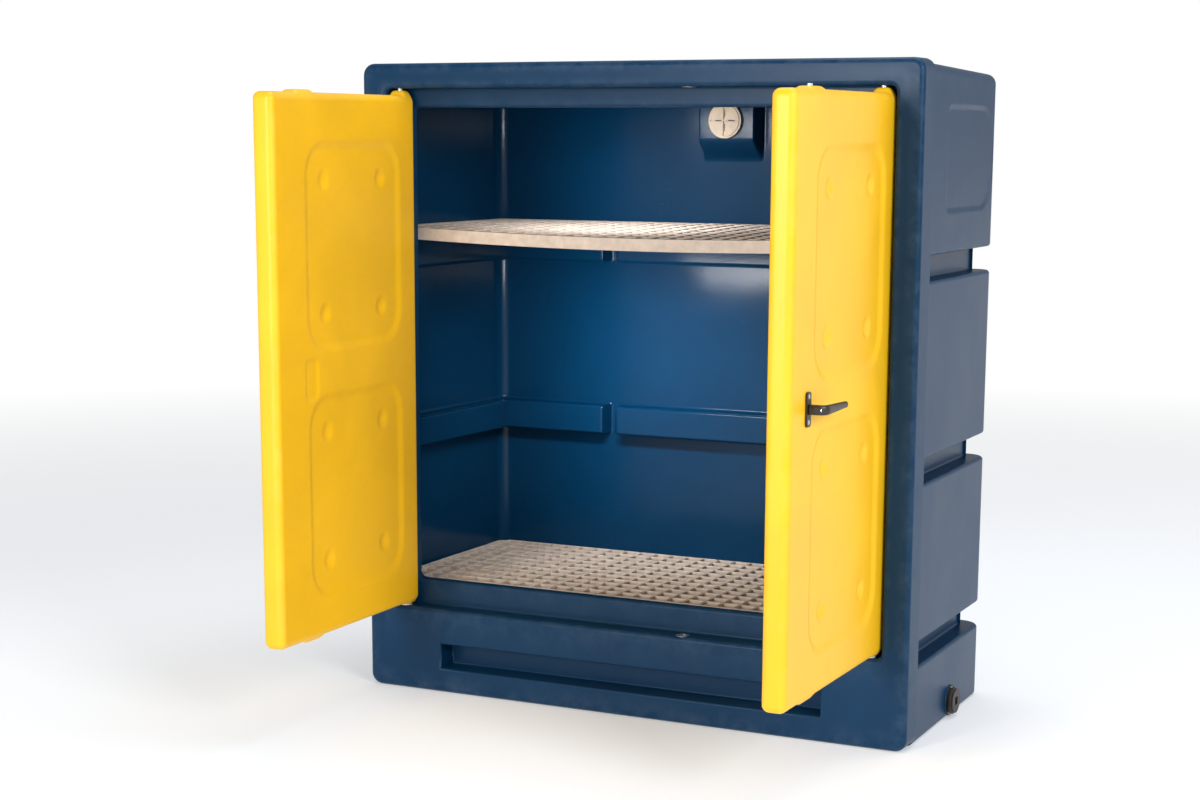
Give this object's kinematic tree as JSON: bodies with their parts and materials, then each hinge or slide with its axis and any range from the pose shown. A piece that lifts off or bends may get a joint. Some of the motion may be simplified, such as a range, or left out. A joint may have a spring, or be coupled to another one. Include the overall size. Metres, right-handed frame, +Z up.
{
  "type": "chemical storage cabinet",
  "caption": "Moulded plastic storage cabinet with a sump, lift-out gratings, a vent, a drain and hinged front doors locked by a lever.",
  "frame": {"origin": "centre of the cabinet's base, on the floor; the front face of the collar is at y = -0.27 and the back at y = 0.27", "axes": "+Z up; the doors face -Y; +X is the cabinet's right as seen from the front"},
  "size_m": [1.202, 1.0391, 1.3],
  "materials": {
    "shell": "satin moulded polyethylene",
    "door": "satin moulded polyethylene",
    "grating": "moulded glass-reinforced resin",
    "vent": "moulded",
    "trim": "moulded",
    "lever": "satin moulded",
    "bush": "natural nylon",
    "seal": "matt",
    "steel": "brushed",
    "bolt": "bright",
    "brass": "turned"
  },
  "bodies": {
    "cabinet": {"body_shell": "shell", "body_base": "shell", "body_collar": "shell", "body_plinth": "shell", "vent_grille": "vent", "vent_tube": "vent", "vent_nut": "vent", "vent_louvre": "trim", "drain_bush": "brass", "hinge_pins": "steel", "hinge_washers": "bush", "bolt_keepers": "steel"},
    "shelf": {"upper_shelf": "grating"},
    "floor": {"floor_grating": "grating"},
    "left_leaf": {"left_door": "door", "left_door_bushes": "bush"},
    "right_leaf": {"right_door": "door", "right_door_bushes": "bush", "bolt_guides": "bush", "spindle_bush": "bush", "handle_backplate": "lever", "backplate_screws": "steel", "lock_cover": "trim", "cover_screws": "steel"},
    "lever": {"lever_handle": "lever", "lever_spindle": "steel", "lock_cam": "steel", "cam_screw": "steel"},
    "top_bolt": {"top_shoot_bolt": "bolt"},
    "bottom_bolt": {"bottom_shoot_bolt": "bolt"},
    "plug_seal": {"drain_seal": "seal"},
    "plug": {"drain_plug": "trim"}
  },
  "joints": [
    {"name": "left_door_hinge", "type": "hinge", "parent": "cabinet", "child": "left_leaf", "pos_m": [-0.518, -0.254, 0.71], "axis": [0, 0, 1], "range_deg": [-11.5, 88]},
    {"name": "right_door_hinge", "type": "hinge", "parent": "cabinet", "child": "right_leaf", "pos_m": [0.518, -0.254, 0.71], "axis": [0, 0, -1], "range_deg": [-8.5, 91]},
    {"name": "lever_turn", "type": "hinge", "parent": "right_leaf", "child": "lever", "pos_m": [0.52559, -0.68893, 0.703], "axis": [-0.9998, -0.0175, 0], "range_deg": [0, 90]},
    {"name": "top_bolt_slide", "type": "slide", "parent": "right_leaf", "child": "top_bolt", "axis": [0, 0, 1], "range_m": [0, 0.0312]},
    {"name": "bottom_bolt_slide", "type": "slide", "parent": "right_leaf", "child": "bottom_bolt", "axis": [0, 0, -1], "range_m": [0, 0.0312]},
    {"name": "shelf_lift", "type": "slide", "parent": "cabinet", "child": "shelf", "axis": [0, 0, 1], "range_m": [0, 0.1]},
    {"name": "floor_grating_lift", "type": "slide", "parent": "cabinet", "child": "floor", "axis": [0, 0, 1], "range_m": [0, 0.1]},
    {"name": "plug_unscrew", "type": "slide", "parent": "cabinet", "child": "plug_seal", "axis": [1, 0, 0], "range_m": [0, 0.00693]},
    {"name": "plug_turn", "type": "hinge", "parent": "plug_seal", "child": "plug", "pos_m": [0.588, 0.042, 0.033], "axis": [1, 0, 0], "range_deg": [0, 1080]}
  ],
  "couplings": [
    {"joint": "top_bolt_slide", "follows": "lever_turn", "m_per_rad": 0.019807},
    {"joint": "bottom_bolt_slide", "follows": "lever_turn", "m_per_rad": 0.019807},
    {"joint": "plug_unscrew", "follows": "plug_turn", "m_per_rad": 0.0003675}
  ]
}
